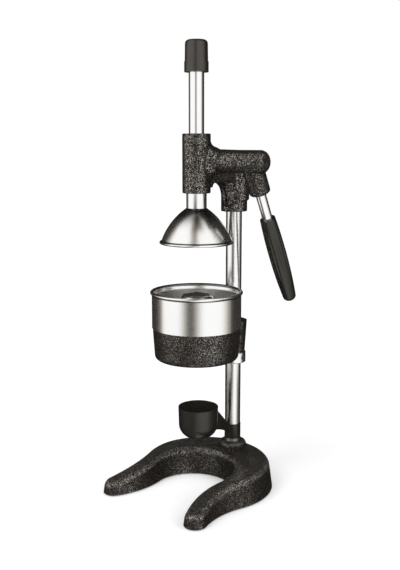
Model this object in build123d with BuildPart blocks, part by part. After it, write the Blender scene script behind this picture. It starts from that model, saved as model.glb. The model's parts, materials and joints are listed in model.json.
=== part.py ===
from build123d import *
import os
from math import acos, cos, pi, radians, sin, sqrt, tan

# A lever fruit press: a cast stand with a post, a rack-and-pinion ram with a bell,
# a bowl with a pressing cone in a cast holder, and a drip cup that turns on the post.
# Millimetres. +Z is up, the front faces -Y and the lever is on the +X side.
# The origin is the centre of the base's footprint, on the table.

os.makedirs("parts", exist_ok=True)

# Fits
running = 0.05  # radial clearance of a piece that turns or slides in its bore
seated = 0.02  # radial clearance of a piece that is pressed, screwed or clamped in place
air = 0.3  # gap between pieces that pass each other or stop against each other

# Base casting
base_width = 169.0
base_length = 192.0
base_wall = 8.0
base_draft = 8.0  # degrees
toe_radius = 13.5
toe_spread = 135.0  # between the centres of the two toes
toe_height = 14.6  # crest of a toe at its front
crest_round = 9.2
heel_height = 35.2  # crest of the heel
crest_setback = 71.0  # from the toes' front to where the crest levels out
crest_bend = 400.0  # radius of the crest line there
waist_radius = 100.0  # hollow outer side of a leg
leg_radius = 100.0  # swelling inner side of a leg
arch_radius = 48.5  # round end of the gap between the legs
arch_setback = 83.0  # from the toes' front to the centre of that round end
boss_radius = 17.8  # raised seat of the post
boss_rise = 9.6  # of that seat above the heel
boss_round = 5.0

# Rubber feet
foot_height = 1.2  # stands out below the casting
foot_radius = 9.0
foot_stem_radius = 3.5
foot_stem_length = 8.0
foot_boss_radius = 11.0
heel_foot_radius = 66.0  # from the heel's centre to the rear feet
heel_foot_angle = 45.0  # of the rear feet, from straight back

# Post and its fastening
ram_setback = 91.0  # from the toes' front to the ram's axis
throat = 70.0  # from the ram's axis to the post's axis
post_radius = 10.0
spigot_radius = 8.5  # turned-down length inside the drip cup's collar
tenon_radius = 7.0  # foot of the post inside the base
bolt_radius = 4.0
bolt_head_radius = 6.5
bolt_head_height = 8.0
bolt_reach = 18.0  # into the post's foot
hex_key = 6.0  # across flats
hex_depth = 4.0
washer_radius = 10.0
washer_thickness = 2.0
bolt_recess_radius = 12.0
bolt_recess_depth = 12.0
tenon_gap = 2.0  # lets the bolt draw the post down
ring_radius = 9.8
ring_height = 3.7
ring_groove = 0.8  # depth, and half the width

# Drip cup
collar_height = 19.0
collar_wall = 1.9
cup_reach = 67.0  # from the post's axis to the cup's axis
cup_rim_height = 106.0
cup_rim_radius = 24.7
cup_foot_radius = 23.8
cup_depth = 39.6
cup_round = 18.0
cup_wall = 1.8
arm_thickness = 7.0
arm_height = 32.5  # at the cup
arm_drop = 4.0  # from the cup's rim to the arm's top
arm_foot = 0.6  # arm's lower edge above the collar's lower end
arm_sag = 80.0  # radius of the arm's lower edge

# Bowl holder and its set collar
holder_height = 207.8  # top of the casting, which carries the bowl
holder_depth = 39.0
holder_radius = 53.3
holder_foot_radius = 50.6
holder_round = 5.0
holder_wall = 5.5
holder_floor = 6.0
holder_mouth_radius = 36.0  # open bottom
hub_top_radius = 17.4  # boss round the post
hub_foot_radius = 14.8
hub_sink = 2.8  # boss's top below the ring's
hub_drop = 4.3  # boss's foot below the ring's
set_collar_radius = 16.1
set_collar_height = 14.0
set_collar_chamfer = 0.8
grub_radius = 4.0
grub_length = 6.0
collar_grub_radius = 3.0
grub_key_depth = 2.5

# Bowl and pressing cone
bowl_radius = 54.0
bowl_height = 42.4  # above the holder
bowl_nest = 15.0  # depth inside the holder
bowl_wall = 1.2
bowl_fall = 4.0  # slope of the floor down to the outlet
outlet_radius = 14.0
bead_radius = 1.9
cone_top_height = 250.5
cone_shoulder_radius = 19.0
cone_shoulder_drop = 3.5
cone_foot_radius = 33.0
cone_round = 7.0
cone_wall = 1.2
slot_count = 16
slot_width = 3.0
slot_length = 8.0

# Ram
ram_radius = 9.0
ram_travel = 69.2
sleeve_bottom = 368.8
sleeve_length = 69.0
sleeve_radius = 16.7
sleeve_round = 1.2
ram_bush_radius = 11.5
ram_bush_length = 15.0
neck_radius = 12.1
neck_length = 17.2
neck_floor = 6.0
stud_radius = 5.0
dome_height = 40.6  # from the neck to the middle of the rolled edge
dome_mouth_radius = 42.6
dome_bulge = 80.0  # radius of the bell's side, seen in section
dome_wall = 1.3
dome_bead_radius = 1.7
dome_washer_radius = 11.0
dome_nut_flats = 16.0
dome_nut_height = 6.0
cap_length = 36.0
cap_radius = 13.5
cap_top_radius = 13.1
cap_flange_radius = 14.1
cap_flange_height = 11.7
cap_round = 4.5
cap_roof = 5.0

# Rack and pinion
module = 2.0
tooth_count = 13
pressure_angle = 25.0
root_share = 1.25  # tooth's depth below the pitch line, in modules
backlash = 0.16
rack_setback = 6.0  # from the ram's axis to the rack's pitch line
rack_width = 9.0  # groove in the ram's back that holds the teeth
gear_width = 17.0  # over the pinion's hubs
pinion_hub_radius = 9.5
pinion_rise = 36.9  # pinion axis above the sleeve's lower end
shaft_radius = 7.0
key_width = 4.0
key_height = 4.0

# Head casting
socket_drop = 25.3  # socket's lower end below the sleeve's
socket_radius = 16.3
socket_depth = 54.0
socket_roof = 13.0
socket_round = 6.0
shoulder_radius = 17.5  # thicker upper length of the socket
shoulder_shift = 2.0  # its centre behind the post's axis
shoulder_drop = 23.0  # its lower end below the bridge
shoulder_chamfer = 1.4
head_screw_rise = 21.0  # lower set screw above the socket's lower end
head_screw_gap = 22.0  # between the two set screws
bridge_width = 25.0
bridge_blend = 8.0
bridge_rise = 11.2  # underside above the sleeve's lower end
bridge_arch = 12.0  # round from the underside down to the socket
arch_reach = 4.8  # how far that round runs in behind the socket's front
bridge_fillet = 5.0  # round from the underside down to the sleeve
bridge_round = 3.0  # lower edges
case_radius = 18.0  # gear case
case_reach = 5.0  # end of the case on the lever's side
case_neck = 16.0  # length over which the case narrows to the shaft housing
case_end = 21.0  # plugged end of the case, on the side away from the lever
case_blend = 11.0  # case into sleeve
gear_air = 0.6  # round the gear, in its chamber
housing_root_radius = 14.1  # shaft housing beside the case
housing_radius = 13.5  # and at its end
housing_end = 49.5
shaft_bush_radius = 10.0
shaft_bush_length = 12.0
plug_end_wall = 3.0

# Lever
lever_x = 66.8
lever_angle = 25.5  # degrees back from straight down
lever_length = 188.5
knuckle_end = 88.2
knuckle_round = 8.8
lever_boss_radius = 12.4
lever_boss_length = 39.5
lever_boss_round = 2.0
lever_rod_radius = 6.1
lever_tip_radius = 4.0
lever_tip_length = 14.0
lever_tip_reach = 4.0  # past the shaft's axis
grip_start = 73.5
grip_neck_radius = 9.2
grip_belly_radius = 10.9
grip_belly = 45.0  # from the grip's start to its thickest place
grip_tail_radius = 7.6
grip_tail = 6.0  # rounded tail
grip_sink = 20.0  # wall of the grip past the rod's end
flute_count = 10
flute_radius = 2.6
flute_depth = 0.9

# Places worked out from the sizes above
front_y = -base_length / 2
ram_y = front_y + ram_setback
post_y = ram_y + throat
pitch_radius = module * tooth_count / 2
tip_radius = pitch_radius + module
root_depth = root_share * module
root_radius = pitch_radius - root_depth
pinion_y = ram_y + rack_setback + pitch_radius
pinion_z = sleeve_bottom + pinion_rise
sleeve_top = sleeve_bottom + sleeve_length
socket_bottom = sleeve_bottom - socket_drop
post_top = socket_bottom + socket_depth
socket_top = post_top + socket_roof
chamber_radius = tip_radius + gear_air
gear_half = gear_width / 2
tooth_width = rack_width - 2 * air
boss_height = heel_height + boss_rise
ring_top = boss_height + ring_height
shoulder_z = ring_top + collar_height + 2 * air
cap_bottom = sleeve_top + ram_travel + air
cap_top = cap_bottom + cap_length
neck_top = sleeve_bottom - air
dome_top = neck_top - neck_length
cup_y = post_y - cup_reach
holder_bottom = holder_height - holder_depth
bowl_rim = holder_height + bowl_height
heel_centre = Vector(0, base_length / 2 - base_width / 2)
toe_centre = Vector(toe_spread / 2, front_y + toe_radius)
arch_centre = Vector(0, front_y + arch_setback)

# Working planes: the first two sizes on an upright plane are distance from the axis and height
ram_plane = Plane((0, ram_y, 0), x_dir=(1, 0, 0), z_dir=(0, -1, 0))
post_plane = Plane((0, post_y, 0), x_dir=(1, 0, 0), z_dir=(0, -1, 0))
cup_plane = Plane((0, cup_y, 0), x_dir=(1, 0, 0), z_dir=(0, -1, 0))
shaft_plane = Plane((0, pinion_y, pinion_z), x_dir=(1, 0, 0), z_dir=(0, -1, 0))
ram_axis = Axis((0, ram_y, 0), (0, 0, 1))
post_axis = Axis((0, post_y, 0), (0, 0, 1))
cup_axis = Axis((0, cup_y, 0), (0, 0, 1))
shaft_axis = Axis((0, pinion_y, pinion_z), (1, 0, 0))
lever_way = Vector(0, sin(radians(lever_angle)), -cos(radians(lever_angle)))
lever_foot = Vector(lever_x, pinion_y, pinion_z)
lever_axis = Axis(lever_foot, lever_way)
lever_plane = Plane(lever_foot, x_dir=(1, 0, 0), z_dir=Vector(1, 0, 0).cross(lever_way))


# Shared shapes

def outline(plane, *points):
    """Flat shape with straight sides through the points."""
    with BuildSketch(plane) as shape:
        with BuildLine():
            Polyline(*points, close=True)
        make_face()
    return shape.sketch


def bar(plane, radius, length, mode=Mode.ADD):
    """Round bar, or round hole, that starts on a plane."""
    with BuildSketch(plane) as end:
        Circle(radius)
    extrude(end.sketch, amount=length, mode=mode)


def level(y, z, x=0.0):
    """Plane that faces up at a place."""
    return Plane((x, y, z))


def along_lever(distance):
    """Plane square to the lever, at a distance from the pinion's axis."""
    return Plane(lever_foot + lever_way * distance, x_dir=(1, 0, 0), z_dir=lever_way)


def across(x):
    """Plane square to the pinion's axis."""
    return Plane((x, pinion_y, pinion_z), x_dir=(0, 1, 0), z_dir=(1, 0, 0))


def finish(piece, name):
    """Name a piece and write it."""
    piece.part.label = name
    export_step(piece.part, f"parts/{name}.step")


# Horseshoe outline of the base, made of arcs that run into each other

def meeting_point(first, first_reach, second, second_reach):
    """Point at a given distance from each of two points, on the left of the line between them."""
    span = second - first
    along = (first_reach**2 - second_reach**2 + span.length**2) / (2 * span.length)
    aside = sqrt(first_reach**2 - along**2)
    way = span.normalized()
    return first + way * along + way.rotate(Axis.Z, 90) * aside


waist_centre = meeting_point(
    heel_centre, base_width / 2 + waist_radius, toe_centre, toe_radius + waist_radius
)
leg_centre = meeting_point(
    arch_centre, arch_radius + leg_radius, toe_centre, leg_radius - toe_radius
)


# Narrowest width of a leg, beside the round end of the gap, and the largest round that fits its crest
waist_start = heel_centre + (waist_centre - heel_centre).normalized() * (base_width / 2)
leg_width = min(
    (waist_start - arch_centre).length - arch_radius,
    leg_radius - (waist_start - leg_centre).length,
)
lean = tan(radians(base_draft))
crest_limit = min(
    toe_radius - (toe_height - foot_height) * lean,
    leg_width / 2 - ((heel_height + toe_height) / 2 - foot_height) * lean,
)


def bend(centre, radius, start, end, clockwise):
    """Arc about a centre, from the direction of one point to the direction of another."""
    first = Vector(1, 0).get_signed_angle(start - centre, Vector(0, 0, 1))
    last = Vector(1, 0).get_signed_angle(end - centre, Vector(0, 0, 1))
    sweep = (last - first) % 360
    CenterArc(centre, radius, first, sweep - 360 if clockwise else sweep)


def horseshoe(inset):
    """Lines of the horseshoe, moved inwards by the inset."""
    back = Vector(0, base_length / 2)
    bend(heel_centre, base_width / 2 - inset, back, waist_centre, True)
    bend(waist_centre, waist_radius + inset, heel_centre, toe_centre, False)
    bend(toe_centre, toe_radius - inset, waist_centre, toe_centre * 2 - leg_centre, True)
    bend(leg_centre, leg_radius - inset, toe_centre, arch_centre, True)
    bend(arch_centre, arch_radius + inset, leg_centre, back, False)
    mirror(about=Plane.YZ)


def under_crest(drop):
    """Keep what lies under the crest line, lowered by the drop."""
    rise = (heel_height - toe_height) / crest_setback
    with BuildSketch(Plane.YZ.offset(-base_width)) as side_view:
        with BuildLine():
            crest = FilletPolyline(
                (front_y - toe_radius, toe_height - drop - rise * toe_radius),
                (front_y + crest_setback, heel_height - drop),
                (base_length, heel_height - drop),
                radius=crest_bend,
            )
            Polyline(crest @ 1, (base_length, 0), (front_y - toe_radius, 0), crest @ 0)
        make_face()
    extrude(side_view.sketch, amount=2 * base_width, mode=Mode.INTERSECT)


heel_foot = heel_centre + Vector(0, heel_foot_radius).rotate(Axis.Z, -heel_foot_angle)
foot_places = [
    (side * place.X, place.Y) for place in (toe_centre, heel_foot) for side in (1, -1)
]

# Hollow underside of the base, with solid bosses left for the post and the feet
with BuildPart() as base_hollow:
    with BuildSketch(Plane.XY):
        with BuildLine():
            horseshoe(base_wall)
        make_face()
        with Locations((0, post_y)):
            Circle(boss_radius, mode=Mode.SUBTRACT)
        with Locations(*foot_places):
            Circle(foot_boss_radius, mode=Mode.SUBTRACT)
    extrude(amount=heel_height)
    under_crest(base_wall)

# Base: horseshoe casting with drafted sides and a rounded crest
with BuildPart() as base:
    with BuildSketch(Plane.XY.offset(foot_height)):
        with BuildLine():
            horseshoe(0)
        make_face()
    extrude(amount=heel_height)
    sides = base.faces().filter_by(lambda face: abs(face.normal_at().Z) < 0.1)
    draft(sides, Plane.XY.offset(foot_height), base_draft)
    under_crest(0)
    tops = base.faces().filter_by(lambda face: face.normal_at().Z > 0.8)
    sides = base.faces().filter_by(lambda face: abs(face.normal_at().Z) < 0.3)
    rims = [edge for edge in tops.edges() if any(edge.is_same(other) for other in sides.edges())]
    fillet(rims, radius=min(crest_round, crest_limit - seated))
    bar(level(post_y, heel_height / 2), boss_radius, boss_height - heel_height / 2)
    boss_circles = base.edges().filter_by(GeomType.CIRCLE).filter_by(
        lambda edge: abs(edge.radius - boss_radius) < seated
    )
    fillet(boss_circles.sort_by(Axis.Z)[-1], radius=boss_round)
    add(base_hollow.part, mode=Mode.SUBTRACT)
    bar(level(post_y, 0), tenon_radius + seated, boss_height, mode=Mode.SUBTRACT)
    bar(level(post_y, 0), bolt_recess_radius, foot_height + bolt_recess_depth, mode=Mode.SUBTRACT)
    with BuildSketch(Plane.XY):
        with Locations(*foot_places):
            Circle(foot_stem_radius + seated)
    extrude(amount=foot_height + foot_stem_length + air, mode=Mode.SUBTRACT)
finish(base, "base")

# Rubber feet, pushed into the base
with BuildPart() as rubber_feet:
    with BuildSketch(Plane.XY):
        with Locations(*foot_places):
            Circle(foot_radius)
    extrude(amount=foot_height)
    with BuildSketch(Plane.XY):
        with Locations(*foot_places):
            Circle(foot_stem_radius)
    extrude(amount=foot_height + foot_stem_length)
finish(rubber_feet, "rubber_feet")

# Post: bright column, turned down at its foot
recess_roof = foot_height + bolt_recess_depth
tenon_bottom = recess_roof + tenon_gap
with BuildPart() as post:
    revolve(
        outline(
            post_plane,
            (0, tenon_bottom),
            (tenon_radius, tenon_bottom),
            (tenon_radius, ring_top),
            (spigot_radius, ring_top),
            (spigot_radius, shoulder_z),
            (post_radius, shoulder_z),
            (post_radius, post_top),
            (0, post_top),
        ),
        axis=post_axis,
    )
    bar(level(post_y, tenon_bottom), bolt_radius + seated, bolt_reach + air, mode=Mode.SUBTRACT)
finish(post, "post")

# Bolt and washer that pull the post down into the base
washer_bottom = recess_roof - washer_thickness
with BuildPart() as post_bolt:
    bar(level(post_y, washer_bottom - bolt_head_height), bolt_head_radius, bolt_head_height)
    bar(level(post_y, washer_bottom), bolt_radius, washer_thickness + tenon_gap + bolt_reach)
    with BuildSketch(level(post_y, washer_bottom - bolt_head_height)):
        RegularPolygon(hex_key / 2, 6, major_radius=False)
    extrude(amount=hex_depth, mode=Mode.SUBTRACT)
finish(post_bolt, "post_bolt")

with BuildPart() as post_washer:
    bar(level(post_y, washer_bottom), washer_radius, washer_thickness)
    bar(level(post_y, washer_bottom), bolt_radius + air, washer_thickness, mode=Mode.SUBTRACT)
finish(post_washer, "post_washer")

# Bright ring between the base's seat and the drip cup's collar
groove_z = boss_height + ring_height / 2
with BuildPart() as base_ring:
    revolve(
        outline(
            post_plane,
            (tenon_radius + seated, boss_height),
            (ring_radius, boss_height),
            (ring_radius, groove_z - ring_groove),
            (ring_radius - ring_groove, groove_z),
            (ring_radius, groove_z + ring_groove),
            (ring_radius, ring_top),
            (tenon_radius + seated, ring_top),
        ),
        axis=post_axis,
    )
finish(base_ring, "base_ring")

# Drip cup: cup, arm and collar in one moulding
collar_bottom = ring_top + air
collar_bore = spigot_radius + running
collar_radius = collar_bore + collar_wall
cup_bottom = cup_rim_height - cup_depth
arm_top = cup_rim_height - arm_drop
with BuildPart() as drip_cup:
    with BuildSketch(cup_plane) as cup_section:
        with BuildLine():
            Polyline(
                (0, cup_bottom),
                (cup_foot_radius, cup_bottom),
                (cup_rim_radius, cup_rim_height),
                (0, cup_rim_height),
                close=True,
            )
        make_face()
        fillet(cup_section.vertices().group_by(Axis.Y)[0].sort_by(Axis.X)[-1], radius=cup_round)
    revolve(axis=cup_axis)
    with BuildSketch(Plane.YZ.offset(-arm_thickness / 2)):
        with BuildLine():
            lower_edge = RadiusArc(
                (cup_y + cup_foot_radius, arm_top - arm_height),
                (post_y, collar_bottom + arm_foot),
                arm_sag,
            )
            Polyline(
                lower_edge @ 1,
                (post_y, collar_bottom + collar_height / 2),
                (post_y - collar_radius, collar_bottom + collar_height),
                (cup_y + cup_rim_radius, arm_top),
                (cup_y, arm_top),
                (cup_y, arm_top - arm_height),
                lower_edge @ 0,
            )
        make_face()
    extrude(amount=arm_thickness)
    bar(level(post_y, collar_bottom), collar_radius, collar_height)
    with BuildSketch(cup_plane) as cup_inside:
        with BuildLine():
            Polyline(
                (0, cup_bottom + cup_wall),
                (cup_foot_radius - cup_wall, cup_bottom + cup_wall),
                (cup_rim_radius - cup_wall, cup_rim_height),
                (0, cup_rim_height),
                close=True,
            )
        make_face()
        fillet(
            cup_inside.vertices().group_by(Axis.Y)[0].sort_by(Axis.X)[-1],
            radius=cup_round - cup_wall,
        )
    revolve(axis=cup_axis, mode=Mode.SUBTRACT)
    bar(level(post_y, collar_bottom), collar_bore, collar_height, mode=Mode.SUBTRACT)
finish(drip_cup, "drip_cup")


# Grub screws: a plain screw with a socket for the key

def grub(plane, radius, length):
    """Grub screw whose point lies on the plane."""
    bar(plane, radius, length)
    with BuildSketch(plane.offset(length - grub_key_depth)) as key_hole:
        RegularPolygon(radius / 2, 6, major_radius=False)
    extrude(key_hole.sketch, amount=grub_key_depth, mode=Mode.SUBTRACT)


def facing(way, z, distance):
    """Plane on the post's side that faces away from the post."""
    start = Vector(0, post_y, z) + Vector(way) * distance
    return Plane(start, x_dir=(0, 0, 1), z_dir=way)


# Bowl holder: tapered cast ring with a boss round the post
holder_bore = holder_radius - holder_wall
hub_top = holder_height - hub_sink
hub_bottom = holder_bottom - hub_drop
hub_middle = (hub_top + hub_bottom) / 2
with BuildPart() as cup_holder:
    with BuildSketch(ram_plane) as holder_section:
        with BuildLine():
            Polyline(
                (holder_mouth_radius, holder_bottom),
                (holder_foot_radius, holder_bottom),
                (holder_radius, holder_height),
                (0, holder_height),
                (0, holder_bottom + holder_floor),
                (holder_mouth_radius, holder_bottom + holder_floor),
                close=True,
            )
        make_face()
        fillet(
            holder_section.vertices().group_by(Axis.Y)[0].sort_by(Axis.X)[-1],
            radius=holder_round,
        )
    revolve(axis=ram_axis)
    revolve(
        outline(
            post_plane,
            (0, hub_bottom),
            (hub_foot_radius, hub_bottom),
            (hub_top_radius, hub_top),
            (0, hub_top),
        ),
        axis=post_axis,
    )
    revolve(
        outline(
            ram_plane,
            (0, holder_bottom + holder_floor),
            (holder_foot_radius - holder_wall, holder_bottom + holder_floor),
            (holder_bore, holder_height),
            (0, holder_height),
        ),
        axis=ram_axis,
        mode=Mode.SUBTRACT,
    )
    bar(level(post_y, hub_bottom), post_radius + seated, hub_top - hub_bottom, mode=Mode.SUBTRACT)
    bar(
        facing((0, 1, 0), hub_middle, 0),
        grub_radius + seated,
        2 * hub_top_radius,
        mode=Mode.SUBTRACT,
    )
finish(cup_holder, "cup_holder")

with BuildPart() as holder_set_screw:
    grub(facing((0, 1, 0), hub_middle, post_radius), grub_radius, grub_length)
finish(holder_set_screw, "holder_set_screw")

# Set collar that carries the holder, with its grub screw on the lever's side
set_collar_middle = hub_bottom - set_collar_height / 2
with BuildPart() as clamp_collar:
    bar(level(post_y, hub_bottom - set_collar_height), set_collar_radius, set_collar_height)
    chamfer(clamp_collar.edges().filter_by(GeomType.CIRCLE), length=set_collar_chamfer)
    bar(
        level(post_y, hub_bottom - set_collar_height),
        post_radius + seated,
        set_collar_height,
        mode=Mode.SUBTRACT,
    )
    bar(
        facing((1, 0, 0), set_collar_middle, 0),
        collar_grub_radius + seated,
        2 * set_collar_radius,
        mode=Mode.SUBTRACT,
    )
finish(clamp_collar, "clamp_collar")

with BuildPart() as clamp_screw:
    grub(
        facing((1, 0, 0), set_collar_middle, post_radius),
        collar_grub_radius,
        set_collar_radius - post_radius,
    )
finish(clamp_screw, "clamp_screw")

# Bowl: spun shell with a rolled rim, a step that sits on the holder and a sloping floor
holder_lean = (holder_radius - holder_foot_radius) / holder_depth
nest_top_radius = holder_bore - air
nest_foot_radius = nest_top_radius - holder_lean * bowl_nest
bowl_floor = holder_height - bowl_nest
with BuildPart() as juice_bowl:
    revolve(
        outline(
            ram_plane,
            (0, bowl_floor - bowl_fall),
            (outlet_radius, bowl_floor - bowl_fall),
            (cone_foot_radius, bowl_floor),
            (nest_foot_radius, bowl_floor),
            (nest_top_radius, holder_height),
            (bowl_radius, holder_height),
            (bowl_radius, bowl_rim),
            (0, bowl_rim),
        ),
        axis=ram_axis,
    )
    offset(amount=-bowl_wall, openings=juice_bowl.faces().sort_by(Axis.Z)[-1])
    bar(level(ram_y, bowl_floor - bowl_fall), outlet_radius - bowl_wall, bowl_fall, mode=Mode.SUBTRACT)
    with BuildSketch(ram_plane):
        with Locations((bowl_radius, bowl_rim)):
            Circle(bead_radius)
    revolve(axis=ram_axis)
finish(juice_bowl, "juice_bowl")

# Pressing cone with a flange, pierced round its foot so that the juice runs through
flange_bottom = bowl_floor + bowl_wall
flange_radius = nest_foot_radius - bowl_wall - air


def cone_body(inset, mode=Mode.ADD):
    """Cone with a rounded shoulder, made smaller by the inset."""
    with BuildSketch(ram_plane) as cone_section:
        with BuildLine():
            Polyline(
                (0, flange_bottom),
                (cone_foot_radius - inset, flange_bottom),
                (cone_shoulder_radius - inset, cone_top_height - cone_shoulder_drop - inset),
                (0, cone_top_height - inset),
                close=True,
            )
        make_face()
        fillet(cone_section.vertices().sort_by(Axis.Y)[-2], radius=cone_round - inset)
    revolve(cone_section.sketch, axis=ram_axis, mode=mode)


with BuildPart() as strainer_cone:
    cone_body(0)
    with BuildSketch(level(ram_y, flange_bottom)):
        Circle(flange_radius)
        with PolarLocations((flange_radius + cone_foot_radius) / 2, slot_count):
            SlotOverall(slot_length, slot_width, mode=Mode.SUBTRACT)
    extrude(amount=cone_wall)
    cone_body(cone_wall, mode=Mode.SUBTRACT)
finish(strainer_cone, "strainer_cone")

# Ram rod: bright bar with the rack cut into its back and a stud at its lower end
rack_pitch = pi * module
flank = tan(radians(pressure_angle))
space_half = rack_pitch / 4 + backlash / 2
spaces_above = int((ram_travel + tip_radius) / rack_pitch) + 1
spaces_below = int(tip_radius / rack_pitch)
rack_top = (spaces_above + 0.5) * rack_pitch
rack_bottom = -(spaces_below + 0.5) * rack_pitch
stud_bottom = dome_top - dome_wall - washer_thickness - dome_nut_height
rod_foot = dome_top + neck_floor
rod_top = cap_top - cap_roof
with BuildPart() as ram_rod:
    revolve(
        outline(
            ram_plane,
            (0, stud_bottom),
            (stud_radius, stud_bottom),
            (stud_radius, rod_foot),
            (ram_radius, rod_foot),
            (ram_radius, rod_top),
            (0, rod_top),
        ),
        axis=ram_axis,
    )
    with BuildSketch(Plane((-rack_width / 2, ram_y + rack_setback, pinion_z), (0, 1, 0), (1, 0, 0))):
        with Locations(*[(0, step * rack_pitch) for step in range(-spaces_below, spaces_above + 1)]):
            Polygon(
                (-root_depth, root_depth * flank - space_half),
                (module, -module * flank - space_half),
                (module, module * flank + space_half),
                (-root_depth, space_half - root_depth * flank),
                align=None,
            )
        with Locations((module, rack_bottom)):
            Rectangle(ram_radius, rack_top - rack_bottom, align=(Align.MIN, Align.MIN))
    extrude(amount=rack_width, mode=Mode.SUBTRACT)
finish(ram_rod, "ram_rod")

# Rubber cap on the ram rod's top
with BuildPart() as top_cap:
    with BuildSketch(ram_plane) as cap_section:
        with BuildLine():
            Polyline(
                (0, cap_bottom),
                (cap_flange_radius, cap_bottom),
                (cap_flange_radius, cap_bottom + cap_flange_height),
                (cap_radius, cap_bottom + cap_flange_height),
                (cap_top_radius, cap_top),
                (0, cap_top),
                close=True,
            )
        make_face()
        fillet(cap_section.vertices().group_by(Axis.Y)[-1].sort_by(Axis.X)[-1], radius=cap_round)
    revolve(axis=ram_axis)
    bar(level(ram_y, cap_bottom), ram_radius + seated, cap_length - cap_roof, mode=Mode.SUBTRACT)
finish(top_cap, "top_cap")

# Neck of the bell
with BuildPart() as press_neck:
    bar(level(ram_y, dome_top), neck_radius, neck_length)
    bar(level(ram_y, dome_top), stud_radius + seated, neck_length, mode=Mode.SUBTRACT)
    bar(level(ram_y, rod_foot), ram_radius + seated, neck_length, mode=Mode.SUBTRACT)
finish(press_neck, "press_neck")

# Bell: thin shell with a rolled edge
dome_edge_z = dome_top - dome_height
with BuildPart() as press_dome:
    with BuildSketch(ram_plane):
        with BuildLine():
            side = RadiusArc((neck_radius, dome_top), (dome_mouth_radius, dome_edge_z), dome_bulge)
            Polyline(side @ 1, (0, dome_edge_z), (0, dome_top), side @ 0)
        make_face()
    revolve(axis=ram_axis)
    offset(amount=-dome_wall, openings=press_dome.faces().sort_by(Axis.Z)[0])
    with BuildSketch(ram_plane):
        with Locations((dome_mouth_radius, dome_edge_z)):
            Circle(dome_bead_radius)
    revolve(axis=ram_axis)
    bar(level(ram_y, dome_top - 2 * dome_wall), stud_radius + seated, 3 * dome_wall, mode=Mode.SUBTRACT)
finish(press_dome, "press_dome")

with BuildPart() as dome_washer:
    bar(level(ram_y, dome_top - dome_wall - washer_thickness), dome_washer_radius, washer_thickness)
    bar(level(ram_y, stud_bottom), stud_radius + seated, neck_length, mode=Mode.SUBTRACT)
finish(dome_washer, "dome_washer")

with BuildPart() as dome_nut:
    with BuildSketch(level(ram_y, stud_bottom)):
        RegularPolygon(dome_nut_flats / 2, 6, major_radius=False)
        Circle(stud_radius + seated, mode=Mode.SUBTRACT)
    extrude(amount=dome_nut_height)
finish(dome_nut, "dome_nut")


# Pinion: involute teeth, with one tooth pointing at the rack

def involute(angle):
    """Involute function of a pressure angle in radians."""
    return tan(angle) - angle


base_circle = pitch_radius * cos(radians(pressure_angle))
tooth_half = (rack_pitch / 2 - backlash) / (2 * pitch_radius)
flank_reach = (base_circle, pitch_radius, tip_radius)


def flank_point(radius, side):
    """Point on a tooth's flank; the tooth points along -X of its sketch."""
    reach = max(radius, base_circle)
    half = tooth_half + involute(radians(pressure_angle)) - involute(acos(base_circle / reach))
    return Vector(-radius, 0).rotate(Axis.Z, side * half * 180 / pi)


with BuildPart() as pinion_gear:
    bar(across(-gear_half), pinion_hub_radius, gear_width)
    bar(across(-tooth_width / 2), root_radius, tooth_width)
    with BuildSketch(across(-tooth_width / 2)):
        with BuildLine():
            lower = ThreePointArc(*[flank_point(reach, 1) for reach in flank_reach])
            upper = ThreePointArc(*[flank_point(reach, -1) for reach in flank_reach])
            Line(lower @ 1, upper @ 1)
            tooth_foot = root_radius - air
            Polyline(lower @ 0, flank_point(tooth_foot, 1), flank_point(tooth_foot, -1), upper @ 0)
        tooth = make_face()
        with PolarLocations(0, tooth_count):
            add(tooth)
    extrude(amount=tooth_width)
    bar(across(-gear_half), shaft_radius + seated, gear_width, mode=Mode.SUBTRACT)
    with BuildSketch(across(-gear_half)):
        with Locations((-shaft_radius, 0)):
            Rectangle(key_height + 2 * seated, key_width + 2 * seated)
    extrude(amount=gear_width, mode=Mode.SUBTRACT)
finish(pinion_gear, "pinion_gear")

with BuildPart() as gear_key:
    with BuildSketch(across(-gear_half)):
        with Locations((-shaft_radius, 0)):
            Rectangle(key_height, key_width)
    extrude(amount=gear_width)
finish(gear_key, "gear_key")

# Shaft that carries the pinion and the lever
shaft_start = -case_end + plug_end_wall + air
shaft_end = lever_x + lever_boss_radius
with BuildPart() as pinion_shaft:
    bar(across(shaft_start), shaft_radius, shaft_end - shaft_start)
    with BuildSketch(across(-gear_half)):
        with Locations((-shaft_radius, 0)):
            Rectangle(key_height + 2 * seated, key_width + 2 * seated)
    extrude(amount=gear_width, mode=Mode.SUBTRACT)
    bar(along_lever(-lever_tip_reach), lever_tip_radius + seated, 2 * shaft_radius, mode=Mode.SUBTRACT)
finish(pinion_shaft, "pinion_shaft")

# Head: sleeve of the ram, gear case with the shaft's housing, bridge and socket of the post
bridge_z = sleeve_bottom + bridge_rise
sleeve_back = ram_y + sleeve_radius
socket_front = post_y - socket_radius
arch_foot = bridge_z - bridge_arch
shoulder_foot = bridge_z - shoulder_drop
head_back = post_y + 2 * socket_radius
head_screw_heights = [socket_bottom + head_screw_rise + step for step in (0, head_screw_gap)]


def lies_at(z):
    """Test for an edge that lies level at a height."""
    return lambda edge: all(abs((edge @ share).Z - z) < seated for share in (0, 0.5, 1))


def joins_sleeve(edge):
    """Whether an edge runs over the back of the sleeve, away from its ends."""
    points = [edge @ share for share in (0, 0.5, 1)]
    reaches = [Vector(point.X, point.Y - ram_y).length for point in points]
    on_side = max(abs(reach - sleeve_radius) for reach in reaches) < seated
    behind = points[1].Y > ram_y + seated
    return on_side and behind and sleeve_bottom + seated < points[1].Z < sleeve_top - seated


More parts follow.
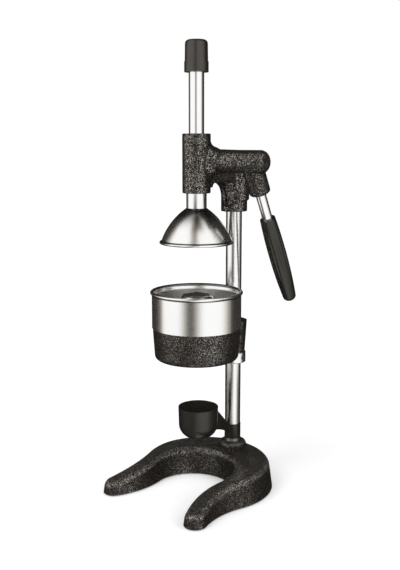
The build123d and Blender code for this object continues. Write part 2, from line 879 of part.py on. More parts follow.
with BuildPart() as bridge:
    with BuildSketch(Plane.XY.offset(arch_foot)) as bridge_plan:
        with Locations((0, post_y + shoulder_shift)):
            Circle(shoulder_radius)
        with Locations((0, ram_y + throat / 2)):
            Rectangle(bridge_width, throat)
        corners = bridge_plan.vertices().filter_by(lambda v: abs(abs(v.X) - bridge_width / 2) < seated)
        fillet(corners.sort_by(Axis.Y)[-2:], radius=bridge_blend)
    extrude(amount=socket_top - arch_foot)
    with BuildSketch(Plane.YZ.offset(-base_width / 2)):
        with BuildLine():
            arch = CenterArc((socket_front + arch_reach - bridge_arch, arch_foot), bridge_arch, 90, -90)
            heel = CenterArc((sleeve_back + bridge_fillet, bridge_z - bridge_fillet), bridge_fillet, 180, -90)
            Line(heel @ 1, arch @ 0)
            Polyline(
                arch @ 1,
                (head_back, arch_foot),
                (head_back, socket_top),
                (ram_y, socket_top),
                (ram_y, bridge_z - bridge_fillet),
                heel @ 0,
            )
        make_face()
    extrude(amount=base_width, mode=Mode.INTERSECT)
    bridge_sides = bridge.faces().filter_by(Axis.X)
    lower_edges = bridge_sides.edges().filter_by(
        lambda edge: edge.center().Z < bridge_z + seated and edge.center().Y < socket_front - bridge_round
    )
    fillet(lower_edges, radius=bridge_round)
    bar(level(post_y + shoulder_shift, shoulder_foot), shoulder_radius, socket_top - shoulder_foot)
    chamfer(bridge.edges().filter_by(lies_at(shoulder_foot)), length=shoulder_chamfer)
    fillet(bridge.edges().filter_by(lies_at(socket_top)).sort_by(Axis.Y)[1:], radius=socket_round)

with BuildPart() as head:
    bar(level(ram_y, sleeve_bottom), sleeve_radius, sleeve_length)
    with BuildSketch(shaft_plane):
        with BuildLine():
            rim = Line((-2 * case_end, case_radius), (case_reach, case_radius))
            neck_end = (case_reach + case_neck, housing_root_radius)
            taper = (housing_end - neck_end[0], housing_radius - housing_root_radius)
            neck = Spline(rim @ 1, neck_end, tangents=[(1, 0), taper])
            Polyline(neck @ 1, (housing_end, housing_radius), (housing_end, 0), (-2 * case_end, 0), rim @ 0)
        make_face()
    revolve(axis=shaft_axis)
    fillet(head.edges().filter_by(joins_sleeve), radius=case_blend)
    bar(across(-3 * case_end), 3 * case_radius, 2 * case_end, mode=Mode.SUBTRACT)
    add(bridge.part)
    bar(level(post_y, socket_bottom), socket_radius, socket_depth)
    for z in (sleeve_top, sleeve_bottom, socket_bottom):
        fillet(head.edges().filter_by(lies_at(z)), radius=sleeve_round)
    bar(across(-case_end), chamber_radius, case_end + tooth_width / 2 + air, mode=Mode.SUBTRACT)
    bar(across(0), shaft_bush_radius + seated, 2 * housing_end, mode=Mode.SUBTRACT)
    bar(level(ram_y, sleeve_bottom), ram_radius + air, sleeve_length, mode=Mode.SUBTRACT)
    for z in (sleeve_bottom, sleeve_top - ram_bush_length):
        bar(level(ram_y, z), ram_bush_radius + seated, ram_bush_length, mode=Mode.SUBTRACT)
    bar(level(post_y, socket_bottom), post_radius + seated, socket_depth, mode=Mode.SUBTRACT)
    for z in head_screw_heights:
        bar(facing((0, 1, 0), z, 0), grub_radius + seated, 2 * socket_radius, mode=Mode.SUBTRACT)
finish(head, "head")

with BuildPart() as head_set_screws:
    for z in head_screw_heights:
        grub(facing((0, 1, 0), z, post_radius), grub_radius, grub_length)
finish(head_set_screws, "head_set_screws")

# Bushes of the ram, at both ends of the sleeve
with BuildPart() as ram_bushes:
    for z in (sleeve_bottom, sleeve_top - ram_bush_length):
        bar(level(ram_y, z), ram_bush_radius, ram_bush_length)
        bar(level(ram_y, z), ram_radius + running, ram_bush_length, mode=Mode.SUBTRACT)
finish(ram_bushes, "ram_bushes")

# Plug that closes the gear chamber and holds the shaft's far bush
plug_start = -case_end
plug_end = -gear_half - air
plug_bore_start = plug_start + plug_end_wall
plug_bush_length = plug_end - plug_bore_start
with BuildPart() as housing_plug:
    bar(across(plug_start), chamber_radius - seated, plug_end - plug_start)
    bar(across(plug_bore_start), shaft_bush_radius + seated, plug_bush_length, mode=Mode.SUBTRACT)
finish(housing_plug, "housing_plug")

# Bushes of the shaft: one in the plug and two in the housing
shaft_bushes = [
    (plug_bore_start, plug_bush_length),
    (gear_half + air, shaft_bush_length),
    (housing_end - shaft_bush_length, shaft_bush_length),
]
with BuildPart() as pinion_bushes:
    for x, length in shaft_bushes:
        bar(across(x), shaft_bush_radius, length)
        bar(across(x), shaft_radius + running, length, mode=Mode.SUBTRACT)
finish(pinion_bushes, "pinion_bushes")

# Lever hub: knuckle on the shaft's end, with the boss that takes the lever's rod
with BuildPart() as lever_hub:
    bar(across(housing_end + air), housing_radius, knuckle_end - housing_end - air)
    fillet(lever_hub.faces().sort_by(Axis.X)[-1].edges(), radius=knuckle_round)
    with BuildSketch(along_lever(0)) as boss_end:
        Circle(lever_boss_radius)
    extrude(amount=lever_boss_length)
    fillet(lever_hub.faces().sort_by(lever_axis)[-1].edges(), radius=lever_boss_round)
    bar(across(housing_end), shaft_radius + seated, shaft_end - housing_end, mode=Mode.SUBTRACT)
    bar(along_lever(0), lever_tip_radius + seated, lever_boss_length, mode=Mode.SUBTRACT)
    bar(along_lever(lever_tip_length), lever_rod_radius + seated, lever_boss_length, mode=Mode.SUBTRACT)
finish(lever_hub, "lever_hub")

# Lever rod, whose thin tip locks the hub on the shaft
rod_end = lever_length - grip_sink
with BuildPart() as lever_rod:
    bar(along_lever(air - lever_tip_reach), lever_tip_radius, lever_tip_reach + lever_tip_length)
    bar(along_lever(lever_tip_length), lever_rod_radius, rod_end - lever_tip_length)
finish(lever_rod, "lever_rod")

# Fluted grip
grip_end = lever_length
belly_z = grip_start + grip_belly
with BuildPart() as lever_grip:
    with BuildSketch(lever_plane) as grip_section:
        with BuildLine():
            side = Spline(
                (grip_neck_radius, grip_start),
                (grip_belly_radius, belly_z),
                (grip_tail_radius, grip_end),
            )
            Polyline(side @ 1, (0, grip_end), (0, grip_start), side @ 0)
        make_face()
    revolve(axis=lever_axis)
    fillet(lever_grip.faces().sort_by(lever_axis)[-1].edges(), radius=grip_tail)
    with BuildSketch(along_lever(grip_start)):
        with PolarLocations(grip_belly_radius + flute_radius - flute_depth, flute_count):
            Circle(flute_radius)
    extrude(amount=lever_length, mode=Mode.SUBTRACT)
    bar(along_lever(grip_start), lever_rod_radius + seated, rod_end - grip_start, mode=Mode.SUBTRACT)
finish(lever_grip, "lever_grip")
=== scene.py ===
import json
from math import acos, cos, radians, sin

import bpy
from mathutils import Euler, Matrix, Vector


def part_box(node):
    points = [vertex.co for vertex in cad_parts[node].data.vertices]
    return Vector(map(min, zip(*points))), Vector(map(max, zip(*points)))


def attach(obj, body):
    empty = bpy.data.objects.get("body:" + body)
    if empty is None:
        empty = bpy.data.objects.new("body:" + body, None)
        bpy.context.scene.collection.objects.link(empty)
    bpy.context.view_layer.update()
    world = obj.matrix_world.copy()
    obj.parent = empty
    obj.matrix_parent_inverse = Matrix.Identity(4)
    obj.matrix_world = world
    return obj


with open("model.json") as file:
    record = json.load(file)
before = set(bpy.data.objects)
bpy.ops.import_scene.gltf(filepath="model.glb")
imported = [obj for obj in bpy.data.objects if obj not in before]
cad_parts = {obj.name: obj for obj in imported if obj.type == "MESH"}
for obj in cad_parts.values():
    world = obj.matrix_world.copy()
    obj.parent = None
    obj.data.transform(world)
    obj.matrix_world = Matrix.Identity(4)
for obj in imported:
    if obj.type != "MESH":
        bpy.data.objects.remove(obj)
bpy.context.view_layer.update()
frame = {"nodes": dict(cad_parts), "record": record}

# Looks of a lever fruit press: the finishes of its pieces, one web of its head, a white studio
# and the camera.
# Metres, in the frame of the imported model: +Z up, front towards -Y, lever on the +X side.

MM = 0.001

# Camera, placed by the photograph's perspective
CAMERA_PLACE = Vector((0.6406, -0.7163, 0.4258))
CAMERA_TURN = 41.76  # degrees from straight in front, towards the lever
CAMERA_PITCH = 9.898  # degrees down
CAMERA_LENS = 51.03  # mm
CAMERA_SENSOR = 36.0  # mm

# Studio
STUDIO_MIDDLE = Vector((0.0, 0.0, 0.25))
WHITE = (1.0, 1.0, 1.0, 1.0)
AMBIENT = 0.55  # soft light from all round
FLOOR_SIZE = 8.0
FLOOR_COLOR = (0.9, 0.9, 0.9, 1.0)
FLOOR_ROUGHNESS = 0.9
FLOOR_GLOW = (0.19, 0.53)  # near the object and far, what the camera sees besides the lit floor
FLOOR_FAR = (0.35, 2.6)  # from the middle, where the glow begins to grow and is full
PANEL_STEPS = 24
PANEL_GLOW = (0.032, 0.030, 0.027, 1.0)  # what the dark panels show of themselves
PANEL_GEL = (  # what they let through, by their density
    (0.0, (1.0, 1.0, 1.0)),
    (0.5, (0.52, 0.485, 0.435)),
    (1.0, (0.0, 0.0, 0.0)),
)
# Dark panels: degrees round from the camera's side, degrees up, distance, density,
# and the shares of width and height over which they fade in
PANELS = (
    ("flag_right", (62.0, 225.0), (-80.0, 85.0), 2.0, 1.0, (0.26, 0.05)),
    ("flag_left", (-225.0, -88.0), (-80.0, 40.0), 2.05, 1.0, (0.26, 0.05)),
    ("flag_left_level", (-150.0, -88.0), (-32.0, -3.0), 2.15, 0.8, (0.3, 0.2)),
    ("flag_low_left", (-160.0, -5.0), (-85.0, -22.5), 0.75, 0.85, (0.15, 0.03)),
    ("flag_low_right", (44.0, 160.0), (-85.0, -22.5), 0.75, 0.85, (0.34, 0.03)),
    ("card_front", (-48.0, 20.0), (-24.0, 1.0), 2.2, 1.0, (0.48, 0.12)),
    ("card_front_level", (-30.0, 14.0), (-2.0, 95.0), 2.25, 0.78, (0.48, 0.06)),
    ("card_front_bell", (-40.0, 8.0), (40.0, 125.0), 2.27, 0.6, (0.48, 0.24)),
    ("card_front_above", (-54.0, 70.0), (48.0, 125.0), 2.3, 0.97, (0.45, 0.26)),
    ("flag_right_above", (62.0, 225.0), (30.0, 87.0), 2.1, 0.95, (0.2, 0.22)),
    ("flag_left_above", (-225.0, -92.0), (30.0, 87.0), 2.12, 0.9, (0.2, 0.22)),
    ("flag_above", (90.0, 270.0), (15.0, 115.0), 1.9, 0.95, (0.2, 0.2)),
)
# Softboxes: degrees round, degrees up, distance, size and watts
LAMPS = (
    ("key", -50.0, 45.0, 1.8, 1.0, 16.0),
    ("fill", 60.0, 35.0, 2.0, 1.2, 10.0),
    ("top", 170.0, 65.0, 1.8, 1.0, 6.0),
)

# Places on the pieces
ram_low, ram_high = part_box("ram_rod")
bowl_low, bowl_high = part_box("juice_bowl")
cup_low, cup_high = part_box("drip_cup")
post_low, post_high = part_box("post")
MIDDLE_X = (ram_low.x + ram_high.x) / 2  # of the ram, the cup and the post
RAM_Y = (bowl_low.y + bowl_high.y) / 2
BOWL_TOP = bowl_high.z
BELL_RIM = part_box("press_dome")[0].z
CUP_RADIUS = (cup_high.x - cup_low.x) / 2
CUP_Y = cup_low.y + CUP_RADIUS
POST_Y = (post_low.y + post_high.y) / 2
SOCKET_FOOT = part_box("head")[0].z

# Finishes. Patterns are counted in cells to the metre.
NOISE = (0.3, 0.7)  # the span that most of a noise pattern lies in
WARM_GLOSS = (1.0, 0.95, 0.88, 1.0)
INWARD = (0.0, -0.01)  # metres from the axis along a face's normal, up to fully inward

VEIN_CELLS = 610.0
VEIN_EDGE = (0.025, 0.075)  # off the pattern's middle, where a vein begins to fade and ends
BREAK_CELLS = 900.0
BREAKS = (0.36, 0.48)
VEIN_CLOUDS = 45.0
# Upward part of a face's normal, by which the enamel gets painted shade and a painted highlight
UPRIGHT = (0.05, 0.6)  # from upright faces, darkened by painted shade, to those with all their veins
SLOPING = (0.1, 0.5)  # from upright faces to sloping ones with the painted highlight of less metal
LEVEL = (0.75, 1.0)  # from sloping faces to level ones, darkened by painted shade
ENAMEL_COLORS = (  # by the strength of the vein, with its painted shade and highlight
    (0.0, (0.011, 0.0093, 0.0076)),
    (0.25, (0.03, 0.0265, 0.0225)),
    (0.8, (0.68, 0.64, 0.585)),
)

TURNED_LINES = 2600.0
STEEL_COLORS = (  # by the turned lines, less painted shade inside the bowl
    (0.0, (0.74, 0.717, 0.683)),
    (0.3, (0.95, 0.947, 0.94)),
    (0.7, (0.99, 0.987, 0.98)),
)
NEAR_RIM = (34.0 * MM, 38.0 * MM)  # from the axis, where the rolled rims begin
SHADE_NEAR_AXIS = (19.0 * MM, 36.0 * MM)  # from the axis, where the painted shade round the bell's neck begins to fade and where it ends
SATIN_AND_SHADE = (BOWL_TOP - 3.0 * MM, BOWL_TOP - 15.0 * MM)  # down the bowl's inside, where it grows rougher and, by painted shade, darker
LIP_SHADE = (BOWL_TOP - 2.6 * MM, BOWL_TOP - 1.6 * MM)  # band of painted shade on the inside of the bowl's rim
CURL = (BOWL_TOP - 7.5 * MM, BOWL_TOP - 2.5 * MM)  # where the wall rolls out into the rim
CURL_DEPTH = 1.0 * MM
CREASE_SHADE = (0.3 * MM, 1.1 * MM)  # half widths of the dark line of painted shade beside a rolled rim
# heights of the creases, where the lines of painted shade lie
BOWL_CREASE = BOWL_TOP - 4.1 * MM
BELL_CREASE = BELL_RIM + 3.6 * MM

# Web of the head, from the arch down onto the front of the post's socket
WEB_NOSE = 9.0 * MM  # radius of its front
WEB_SEAT = 12.5 * MM  # from the post's axis to the web's back, inside the socket's wall
WEB_STEPS = 16  # of its nose and of its back
WEB_SHARP = 40.0  # degrees, from which its edges are sharp
WEB_TURN = 0.98  # highest cosine of half the angle that the nose turns through
# In mm: above the socket's foot, from the post's axis to the nose's centre,
# and the radius that the sides run out to
WEB_STATIONS = (
    (3.5, 6.5, 16.3),
    (8.5, 8.5, 16.3),
    (14.5, 10.5, 16.3),
    (21.5, 11.5, 16.3),
    (26.5, 13.1, 16.3),
    (29.5, 14.5, 16.3),
    (32.1, 16.6, 16.3),
    (34.3, 19.6, 16.0),
    (36.0, 23.6, 15.0),
    (37.5, 27.0, 14.0),
    (42.5, 29.0, 12.7),
)


# Wiring of nodes

class Wiring:
    """Nodes of a material or world, wired by short calls."""

    def __init__(self, owner):
        owner.use_nodes = True
        self.nodes = owner.node_tree.nodes
        self.links = owner.node_tree.links

    def add(self, kind, inputs=None, **settings):
        """New node with settings and inputs, each a value or another node's output."""
        node = self.nodes.new(kind)
        for name, value in settings.items():
            setattr(node, name, value)
        for name, value in (inputs or {}).items():
            self.put(node.inputs[name], value)
        return node

    def put(self, socket, value):
        """Link an output to a socket, or set the socket's own value."""
        if isinstance(value, bpy.types.NodeSocket):
            self.links.new(value, socket)
        else:
            socket.default_value = value

    def math(self, operation, *values):
        """Result of a calculation."""
        node = self.add("ShaderNodeMath", dict(enumerate(values)), operation=operation)
        return node.outputs[0]

    def vector(self, operation, inputs, output="Vector"):
        """Result of a calculation with vectors."""
        return self.add("ShaderNodeVectorMath", inputs, operation=operation).outputs[output]

    def parts(self, vector):
        """X, Y and Z of a vector."""
        return self.add("ShaderNodeSeparateXYZ", {0: vector}).outputs

    def spread(self, value, low, high, to_low=0.0, to_high=1.0, smooth=True):
        """Map a value from one range to another."""
        ends = {"From Min": low, "From Max": high, "To Min": to_low, "To Max": to_high}
        node = self.add(
            "ShaderNodeMapRange",
            {"Value": value, **ends},
            interpolation_type="SMOOTHSTEP" if smooth else "LINEAR",
        )
        return node.outputs[0]

    def ramp(self, value, *stops):
        """Colour that follows a value through stops of (place, colour)."""
        node = self.add("ShaderNodeValToRGB", {"Fac": value})
        elements = node.color_ramp.elements
        while len(elements) < len(stops):
            elements.new(1.0)
        for element, (place, color) in zip(elements, stops):
            element.position = place
            element.color = (*color, 1.0)
        return node.outputs[0]

    def seen_directly(self):
        """1 for what the camera, a reflection or a transmission sees, 0 for light on the object."""
        path = self.add("ShaderNodeLightPath").outputs
        first = self.math("MAXIMUM", path["Is Camera Ray"], path["Is Glossy Ray"])
        return self.math("MAXIMUM", first, path["Is Transmission Ray"])


class Finish(Wiring):
    """A material with one Principled shader."""

    def __init__(self, name):
        self.material = bpy.data.materials.new(name)
        super().__init__(self.material)
        self.shader = self.nodes["Principled BSDF"]
        coordinates = self.add("ShaderNodeTexCoord").outputs
        self.place = coordinates["Object"]
        self.facing = coordinates["Normal"]

    def set(self, **values):
        """Set or link inputs of the shader, written with _ for a space."""
        for name, value in values.items():
            self.put(self.shader.inputs[name.replace("_", " ")], value)

    def noise(self, scale, detail=2.0, rough=0.5, distortion=0.0, place=None):
        """Cloudy pattern; the scale counts its cells to the metre."""
        node = self.add(
            "ShaderNodeTexNoise",
            {
                "Vector": place or self.place,
                "Scale": scale,
                "Detail": detail,
                "Roughness": rough,
                "Distortion": distortion,
            },
        )
        return node.outputs[0]

    def mottle(self, pattern, dark, pale):
        """Colour between two, by a noise pattern."""
        return self.ramp(pattern, (NOISE[0], dark), (NOISE[1], pale))

    def scaled(self, color, factor):
        """Colour made darker or paler by a factor."""
        return self.vector("SCALE", {0: color, "Scale": factor})

    def bump(self, height, strength, distance):
        """Relief of the surface, its depth in metres."""
        node = self.add(
            "ShaderNodeBump", {"Height": height, "Strength": strength, "Distance": distance}
        )
        self.set(Normal=node.outputs[0])

    def from_axis(self, center_x, center_y):
        """Vector away from an upright axis, its length, the height, and 1 on inward faces."""
        moved = self.vector("ADD", {0: self.place, 1: (-center_x, -center_y, 0.0)})
        parts = self.parts(moved)
        away = self.add("ShaderNodeCombineXYZ", {0: parts[0], 1: parts[1]}).outputs[0]
        reach = self.vector("LENGTH", {0: away}, "Value")
        outward = self.vector("DOT_PRODUCT", {0: self.facing, 1: away}, "Value")
        return away, reach, parts[2], self.spread(outward, *INWARD)

    def lines_round(self, away, reach, height, count, waver=0.02):
        """Fine turned lines round an upright axis."""
        along = self.math("MULTIPLY", self.parts(away)[0], waver)
        joined = self.add("ShaderNodeCombineXYZ", {0: reach, 1: height, 2: along}).outputs[0]
        return self.noise(count, detail=3.0, rough=0.6, place=joined)


# Finishes

def hammertone(name, upright_veins_left_by_shade, level, slope_metal_for_highlight):
    """Brown-black enamel with silvery veins that run like worms.

    Painted shade leaves only shares of the veins on upright and on level faces,
    and a painted highlight on sloping ones takes a share of their metal, so that the lamps light
    them.
    """
    f = Finish(name)
    cells = f.noise(VEIN_CELLS, detail=0.0, distortion=0.8)
    fine = f.noise(BREAK_CELLS, detail=0.0, distortion=0.3)
    broad = f.noise(VEIN_CLOUDS)
    off_middle = f.math("ABSOLUTE", f.math("SUBTRACT", cells, 0.5))
    vein = f.spread(off_middle, *VEIN_EDGE, 1.0, 0.0)
    broken = f.math("MULTIPLY", vein, f.spread(fine, *BREAKS, 0.1, 1.0))
    clouded = f.math("MULTIPLY", broken, f.spread(broad, *NOISE, 0.8, 1.0))
    up = f.parts(f.facing)[2]
    # painted shade: fewer veins on upright faces, and on level ones
    upright_shade = f.spread(up, *UPRIGHT, upright_veins_left_by_shade, 1.0)
    level_shade = f.spread(up, *LEVEL, 1.0, level)
    strength = f.math("MULTIPLY", clouded, f.math("MULTIPLY", upright_shade, level_shade))
    # painted highlight: sloping faces keep less metal, so the lamps light their veins
    slope_highlight = f.math("MULTIPLY", f.spread(up, *SLOPING), f.spread(up, *LEVEL, 1.0, 0.4))
    metal_for_slope_highlight = f.spread(slope_highlight, 0.0, 1.0, 1.0, slope_metal_for_highlight, smooth=False)
    f.set(
        Base_Color=f.ramp(strength, *ENAMEL_COLORS),
        Metallic=f.math("MULTIPLY", f.spread(strength, 0.2, 0.5), metal_for_slope_highlight),
        Roughness=f.spread(strength, 0.0, 1.0, 0.40, 0.20),
        Specular_IOR_Level=0.16,
    )
    relief = f.math("ADD", f.math("MULTIPLY", cells, 0.7), f.math("MULTIPLY", fine, 0.3))
    f.bump(relief, strength=0.55, distance=0.5 * MM)
    return f.material


def chrome(name, gloss):
    """Chrome plate with faint clouding; gloss is its roughness, from clear to cloudy."""
    f = Finish(name)
    cloud = f.noise(38.0, detail=4.0, rough=0.6)
    f.set(
        Base_Color=f.mottle(cloud, (0.94, 0.94, 0.94), (0.985, 0.985, 0.985)),
        Metallic=1.0,
        Roughness=f.spread(cloud, *NOISE, *gloss),
    )
    return f.material


def polished_steel(name, gloss, brightness_in_axis_shade, crease):
    """Spun steel, polished, with fine lines round its axis.

    Painted shade darkens it near the axis, down to a share of its colour, and lies as a dark line
    at the height of the crease beside the rolled rim. Inside the bowl it is rougher, and darker
    down from the rim with painted shade, and the inside of the rim is a dark band of painted shade.
    """
    f = Finish(name)
    away, reach, height, inside = f.from_axis(MIDDLE_X, RAM_Y)
    lines = f.lines_round(away, reach, height, TURNED_LINES)
    cloud = f.noise(30.0, detail=3.0)
    satin_and_shade = f.math("MULTIPLY", inside, f.spread(height, *SATIN_AND_SHADE))
    polish = f.math("ADD", f.spread(lines, *NOISE, *gloss), f.spread(cloud, *NOISE, 0.0, 0.01))
    # painted shade: darker down the bowl's inside
    color = f.ramp(f.math("SUBTRACT", lines, f.math("MULTIPLY", satin_and_shade, 0.5)), *STEEL_COLORS)
    # painted shade: a dark line in the crease beside the rolled rim
    from_crease = f.math("ABSOLUTE", f.math("SUBTRACT", height, crease))
    outer = f.math("SUBTRACT", f.spread(reach, *NEAR_RIM), inside)
    crease_shade = f.math("MULTIPLY", f.spread(from_crease, *CREASE_SHADE, 0.9, 0.0), outer)
    # painted shade: a dark band inside the bowl's rim
    lip_shade = f.math("MULTIPLY", f.spread(height, *LIP_SHADE, 0.0, 0.8), inside)
    bowl_lip_shade = f.math("MULTIPLY", lip_shade, f.spread(height, BELL_RIM, BOWL_TOP))
    dark = f.math("MAXIMUM", crease_shade, bowl_lip_shade)
    # painted shade: darker near the bell's axis, in the crease lines and inside the bowl's lip
    painted_shade_factor = f.math("SUBTRACT", f.spread(reach, *SHADE_NEAR_AXIS, brightness_in_axis_shade, 1.0), dark)
    f.set(
        Base_Color=f.scaled(color, painted_shade_factor),
        Metallic=1.0,
        Roughness=f.math("ADD", polish, f.math("MULTIPLY", satin_and_shade, 0.16)),
    )
    curl = f.math("MULTIPLY", f.spread(height, *CURL, 1.0, 0.0), inside)
    relief = f.math("ADD", curl, f.math("MULTIPLY", lines, 0.003))
    f.bump(relief, strength=1.0, distance=CURL_DEPTH)
    return f.material


def plain_steel():
    """Turned steel of the screws, nut, washers and gear."""
    f = Finish("machined_steel")
    marks = f.noise(1400.0, detail=3.0, rough=0.65)
    cloud = f.noise(120.0, detail=3.0)
    f.set(
        Base_Color=f.mottle(cloud, (0.40, 0.40, 0.41), (0.52, 0.52, 0.53)),
        Metallic=1.0,
        Roughness=f.spread(marks, *NOISE, 0.26, 0.42),
    )
    f.bump(marks, strength=0.12, distance=0.1 * MM)
    return f.material


def bronze():
    """Sintered bronze of the bushes, with its fine pores."""
    f = Finish("bush_bronze")
    pores = f.noise(2200.0)
    cloud = f.noise(160.0, detail=3.0)
    f.set(
        Base_Color=f.mottle(cloud, (0.50, 0.34, 0.16), (0.64, 0.46, 0.24)),
        Metallic=1.0,
        Roughness=f.spread(pores, *NOISE, 0.3, 0.5),
    )
    f.bump(pores, strength=0.2, distance=0.1 * MM)
    return f.material


def black_rubber():
    """Rubber with a dry, dusty grain."""
    f = Finish("matt_rubber")
    grain = f.noise(1900.0, detail=3.0, rough=0.6)
    dust = f.noise(70.0, detail=4.0, rough=0.6)
    f.set(
        Base_Color=f.ramp(dust, (0.3, (0.010, 0.0088, 0.0072)), (0.75, (0.017, 0.0152, 0.0128))),
        Roughness=f.spread(grain, *NOISE, 0.28, 0.36),
        Specular_IOR_Level=0.95,
        Specular_Tint=WARM_GLOSS,
    )
    f.bump(grain, strength=0.12, distance=0.15 * MM)
    return f.material


def black_plastic(name, inside_painted_light):
    """Moulded plastic with a satin grain, paler inside the drip cup by a factor of painted light.
    """
    f = Finish(name)
    grain = f.noise(1500.0)
    cloud = f.noise(55.0, detail=3.0)
    color = f.mottle(cloud, (0.009, 0.0079, 0.0064), (0.014, 0.0125, 0.0104))
    # painted light: the inside of the drip cup made paler
    _, reach, _, inward = f.from_axis(MIDDLE_X, CUP_Y)
    inside = f.math("MULTIPLY", inward, f.spread(reach, CUP_RADIUS, CUP_RADIUS - MM))
    f.set(
        Base_Color=f.scaled(color, f.spread(inside, 0.0, 1.0, 1.0, inside_painted_light)),
        Roughness=f.spread(grain, *NOISE, 0.26, 0.34),
        Specular_IOR_Level=0.68,
        Specular_Tint=WARM_GLOSS,
    )
    f.bump(grain, strength=0.1, distance=0.12 * MM)
    return f.material


finishes = {
    "hammertone": hammertone("hammertone_enamel", upright_veins_left_by_shade=0.8, level=1.0, slope_metal_for_highlight=1.0),
    "chrome": chrome("polished_chrome", gloss=(0.10, 0.13)),
    "polished_steel": polished_steel(
        "spun_steel", gloss=(0.19, 0.23), brightness_in_axis_shade=1.0, crease=BOWL_CREASE
    ),
    "plain_steel": plain_steel(),
    "bronze": bronze(),
    "black_rubber": black_rubber(),
    "black_plastic": black_plastic("satin_plastic", inside_painted_light=1.0),
}
# enamel with deeper painted shade on its upright faces
side_shaded_enamel = hammertone("side_shaded_enamel", upright_veins_left_by_shade=0.64, level=1.0, slope_metal_for_highlight=1.0)
own_finishes = {
    # deeper painted shade on the base's walls and level top, and a painted highlight on its slopes
    "base": hammertone("base_enamel", upright_veins_left_by_shade=0.56, level=0.85, slope_metal_for_highlight=0.62),
    "cup_holder": side_shaded_enamel,
    "lever_hub": side_shaded_enamel,
    "post": chrome("ground_chrome", gloss=(0.18, 0.22)),
    # painted shade round the bell's neck, down to 0.26 of its colour near the axis
    "press_dome": polished_steel(
        "bell_steel", gloss=(0.20, 0.23), brightness_in_axis_shade=0.26, crease=BELL_CREASE
    ),
    "base_ring": finishes["plain_steel"],
    # painted light inside the cup
    "drip_cup": black_plastic("cup_plastic", inside_painted_light=2.8),
}
for subpart in frame["record"]["subparts"]:
    node = frame["nodes"][subpart["node"]]
    for slot in node.material_slots:
        slot.material = own_finishes.get(subpart["node"], finishes[subpart["material_slot"]])


# Web of the head

def new_object(name, data):
    """Object of a mesh, lamp or camera, linked to the scene."""
    made = bpy.data.objects.new(name, data)
    bpy.context.scene.collection.objects.link(made)
    return made


def web_ring(height, reach, side):
    """Level outline: a round nose, sides out to the socket and a back inside the socket's wall."""
    angle = acos(min(WEB_TURN, (side - WEB_NOSE) / reach))
    turns = [angle * (2 * step / WEB_STEPS - 1) for step in range(WEB_STEPS + 1)]
    nose = [(WEB_NOSE * sin(turn), -reach - WEB_NOSE * cos(turn)) for turn in turns]
    flanks = [(side * sin(turn), -side * cos(turn)) for turn in (angle, -angle)]
    back = [(WEB_SEAT * sin(turn), -WEB_SEAT * cos(turn)) for turn in reversed(turns)]
    outline = nose + flanks[:1] + back + flanks[1:]
    return [(MIDDLE_X + x, POST_Y + y, SOCKET_FOOT + height) for x, y in outline]


def head_web():
    """Rounded web that the head's casting has between its arch and the post's socket."""
    rings = [web_ring(*(value * MM for value in station)) for station in WEB_STATIONS]
    count = len(rings[0])
    points = [point for ring in rings for point in ring]
    faces = [tuple(reversed(range(count))), tuple(range(len(points) - count, len(points)))]
    for row in range(len(rings) - 1):
        low, high = row * count, (row + 1) * count
        for column in range(count):
            after = (column + 1) % count
            faces.append((low + column, low + after, high + after, high + column))
    mesh = bpy.data.meshes.new("head_web")
    mesh.from_pydata(points, [], faces)
    mesh.shade_smooth()
    mesh.set_sharp_from_angle(angle=radians(WEB_SHARP))
    mesh.materials.append(finishes["hammertone"])
    web = new_object("head_web", mesh)
    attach(web, "stand")


head_web()


# Studio

def white_world():
    """White to look at, and a softer light on the object."""
    world = bpy.data.worlds.new("studio")
    bpy.context.scene.world = world
    w = Wiring(world)
    background = w.nodes["Background"]
    strength = w.spread(w.seen_directly(), 0.0, 1.0, AMBIENT, 1.0, smooth=False)
    w.put(background.inputs["Color"], WHITE)
    w.put(background.inputs["Strength"], strength)


def white_floor():
    """Pale floor that keeps the object's shadow."""
    half = FLOOR_SIZE / 2
    corners = [(-half, -half, 0), (half, -half, 0), (half, half, 0), (-half, half, 0)]
    mesh = bpy.data.meshes.new("floor")
    mesh.from_pydata(corners, [], [(0, 1, 2, 3)])
    f = Finish("floor_white")
    away = f.vector("LENGTH", {0: f.place}, "Value")
    growth = f.spread(away, *FLOOR_FAR, *FLOOR_GLOW, smooth=False)
    f.set(
        Base_Color=FLOOR_COLOR,
        Roughness=FLOOR_ROUGHNESS,
        Specular_IOR_Level=0.0,
        Emission_Color=WHITE,
        Emission_Strength=f.math("MULTIPLY", growth, f.seen_directly()),
    )
    mesh.materials.append(f.material)
    floor = new_object("floor", mesh)
    floor.visible_glossy = False


def around(turn, rise, distance):
    """Place round the object: degrees from the camera's side to its right hand, and degrees up."""
    angle = radians(CAMERA_TURN + turn)
    level = cos(radians(rise))
    way = Vector((sin(angle) * level, -cos(angle) * level, sin(radians(rise))))
    return STUDIO_MIDDLE + way * distance


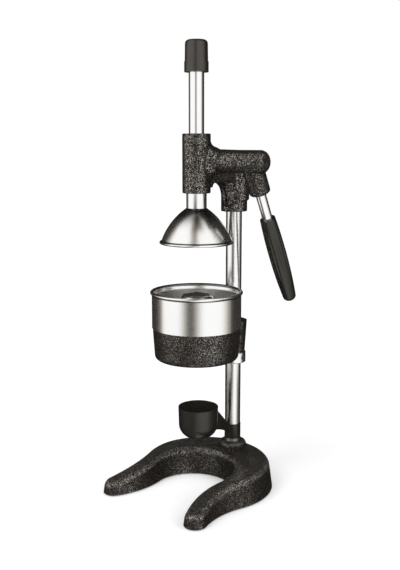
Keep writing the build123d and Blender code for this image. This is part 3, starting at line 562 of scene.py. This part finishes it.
def panel_material(name, density, fades):
    """Dark cloth that fades in from the edges of its panel, over shares of its width and height."""
    material = bpy.data.materials.new(name)
    w = Wiring(material)
    w.nodes.remove(w.nodes["Principled BSDF"])
    shares = w.parts(w.add("ShaderNodeTexCoord").outputs["UV"])
    across, up = (
        w.spread(w.math("PINGPONG", share, 0.5), 0.0, fade) for share, fade in zip(shares, fades)
    )
    shade = w.math("MULTIPLY", w.math("MULTIPLY", across, up), density)
    through = w.add("ShaderNodeBsdfTransparent", {"Color": w.ramp(shade, *PANEL_GEL)})
    glow = w.add("ShaderNodeEmission", {"Color": PANEL_GLOW, "Strength": shade})
    both = w.add("ShaderNodeAddShader", {0: through.outputs[0], 1: glow.outputs[0]})
    w.put(w.nodes["Material Output"].inputs["Surface"], both.outputs[0])
    return material


def dark_panel(name, turns, rises, distance, density, fades):
    """Dark panel, part of a globe round the object, that only reflections see."""
    side = PANEL_STEPS + 1
    shares = [
        (column / PANEL_STEPS, row / PANEL_STEPS) for row in range(side) for column in range(side)
    ]
    points = [
        around(
            turns[0] + (turns[1] - turns[0]) * across,
            rises[0] + (rises[1] - rises[0]) * up,
            distance,
        )
        for across, up in shares
    ]
    corners = [row * side + column for row in range(PANEL_STEPS) for column in range(PANEL_STEPS)]
    mesh = bpy.data.meshes.new(name)
    mesh.from_pydata(points, [], [(at, at + 1, at + side + 1, at + side) for at in corners])
    layer = mesh.uv_layers.new(name="panel")
    for loop in mesh.loops:
        layer.data[loop.index].uv = shares[loop.vertex_index]
    mesh.materials.append(panel_material(name, density, fades))
    panel = new_object(name, mesh)
    panel.visible_camera = False
    panel.visible_diffuse = False
    panel.visible_shadow = False
    panel.visible_transmission = False


def soft_light(name, turn, rise, distance, size, power):
    """Square softbox aimed at the object."""
    lamp = bpy.data.lights.new(name, "AREA")
    lamp.size = size
    lamp.energy = power
    light = new_object(name, lamp)
    light.location = around(turn, rise, distance)
    light.rotation_euler = (STUDIO_MIDDLE - light.location).to_track_quat("-Z", "Y").to_euler()
    light.visible_glossy = False


white_world()
white_floor()
for panel in PANELS:
    dark_panel(*panel)
for lamp in LAMPS:
    soft_light(*lamp)

# Camera
lens = bpy.data.cameras.new("camera")
lens.lens = CAMERA_LENS
lens.sensor_width = CAMERA_SENSOR
lens.sensor_fit = "AUTO"
camera = new_object("camera", lens)
camera.location = CAMERA_PLACE
camera.rotation_euler = Euler((radians(90.0 - CAMERA_PITCH), 0.0, radians(CAMERA_TURN)))
bpy.context.scene.camera = camera
bpy.context.scene.view_settings.view_transform = "Standard"
